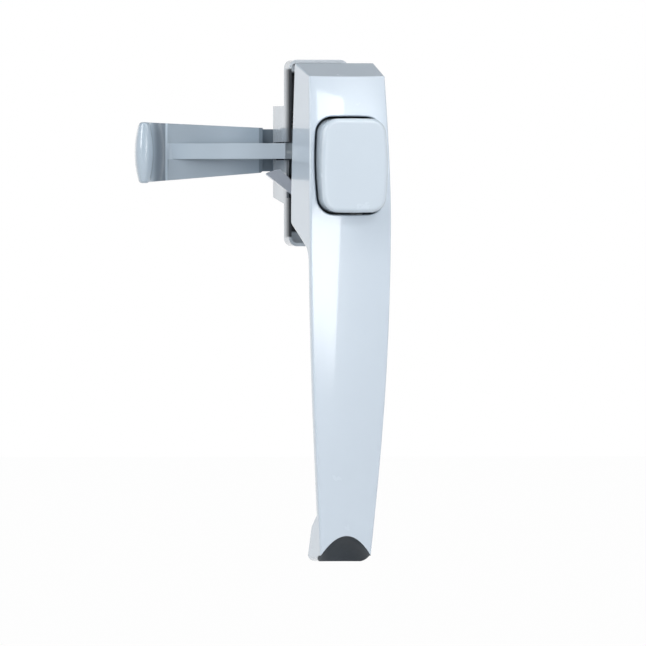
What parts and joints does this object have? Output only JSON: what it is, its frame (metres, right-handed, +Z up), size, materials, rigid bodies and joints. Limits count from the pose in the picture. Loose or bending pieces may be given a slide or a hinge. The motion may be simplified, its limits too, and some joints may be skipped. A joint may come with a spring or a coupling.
{
  "type": "storm door handle set",
  "caption": "Storm door handle set: long bowed outside pull with a push button, and an inside latch case with a swinging lever and a night lock tab.",
  "frame": {"origin": "on the back plane of the outside pull, where it meets the door, at the axis of the push rod", "axes": "+X to the right as seen from outside, +Y through the door into the room, +Z up"},
  "size_m": [0.0938, 0.0904, 0.1968],
  "materials": {
    "pull_paint": "gloss",
    "button_paint": "gloss",
    "case_paint": "gloss",
    "lever_paint": "gloss",
    "lock_paint": "gloss",
    "steel": "zinc plated",
    "spring_steel": "drawn wire"
  },
  "bodies": {
    "frame": {"outside_handle": "pull_paint", "button_spring": "spring_steel", "upper_screw": "steel", "lower_screw": "steel", "latch_case": "case_paint", "pivot_pin": "steel", "lever_spring": "spring_steel", "lock_rivet": "steel", "lock_washer": "steel"},
    "button": {"push_button": "button_paint", "push_rod": "steel", "rod_clip": "spring_steel"},
    "lever": {"latch_lever": "lever_paint"},
    "lock": {"lock_lever": "lock_paint"}
  },
  "joints": [
    {"name": "lever_swing", "type": "hinge", "parent": "frame", "child": "lever", "pos_m": [-0.0062, 0.0395, 0], "axis": [0, 0, 1], "range_deg": [0, 20], "stiffness_Nm_per_rad": 0.12, "springref_deg": -20.05},
    {"name": "button_slide", "type": "slide", "parent": "frame", "child": "button", "axis": [0, 1, 0], "range_m": [0, 0.003], "stiffness_N_per_m": 40, "springref_m": -0.004, "deforming": ["button_spring"]},
    {"name": "lock_swing", "type": "hinge", "parent": "frame", "child": "lock", "pos_m": [-0.004, 0.0262, -0.0155], "axis": [0, 1, 0], "range_deg": [-12, 9]}
  ],
  "couplings": [
    {"joint": "button_slide", "follows": "lever_swing", "m_per_rad": 0.00859}
  ]
}
